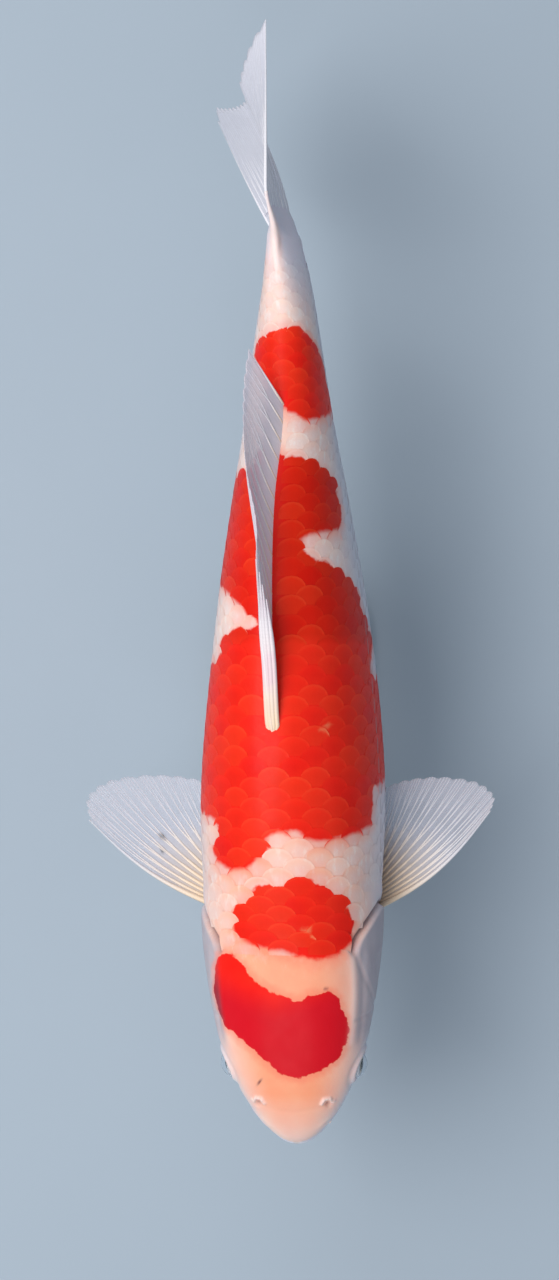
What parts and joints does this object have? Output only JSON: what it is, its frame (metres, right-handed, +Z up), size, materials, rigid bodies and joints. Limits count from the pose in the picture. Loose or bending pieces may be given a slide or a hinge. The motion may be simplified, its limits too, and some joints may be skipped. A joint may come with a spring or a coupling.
{
  "type": "koi carp model",
  "caption": "Life-size model of a red and white koi carp, swimming with its paired fins spread, held by two short rods on a plain display base.",
  "frame": {"origin": "middle of the underside of the display base", "axes": "+Z up, the fish's head towards -Y and its left side towards +X"},
  "size_m": [0.2195, 0.587, 0.2304],
  "materials": {
    "skin": "wet gloss, red and white painted skin",
    "fin": "thin translucent white fin",
    "eye": "clear glass over a dark pupil",
    "stand_wood": "satin oiled walnut",
    "stand_steel": "brushed"
  },
  "bodies": {
    "root": {"head": "skin", "lower_jaw": "skin", "gill_cover_left": "skin", "gill_cover_right": "skin", "trunk": "skin", "tail_stalk": "skin", "barbel_upper_left": "skin", "barbel_upper_right": "skin", "barbel_corner_left": "skin", "barbel_corner_right": "skin", "fin_dorsal": "fin", "fin_anal": "fin", "fin_caudal": "fin", "fin_pectoral_left": "fin", "fin_pectoral_right": "fin", "fin_pelvic_left": "fin", "fin_pelvic_right": "fin", "eye_left": "eye", "eye_right": "eye", "stand_base": "stand_wood", "stand_rod_front": "stand_steel", "stand_rod_rear": "stand_steel"}
  },
  "joints": []
}
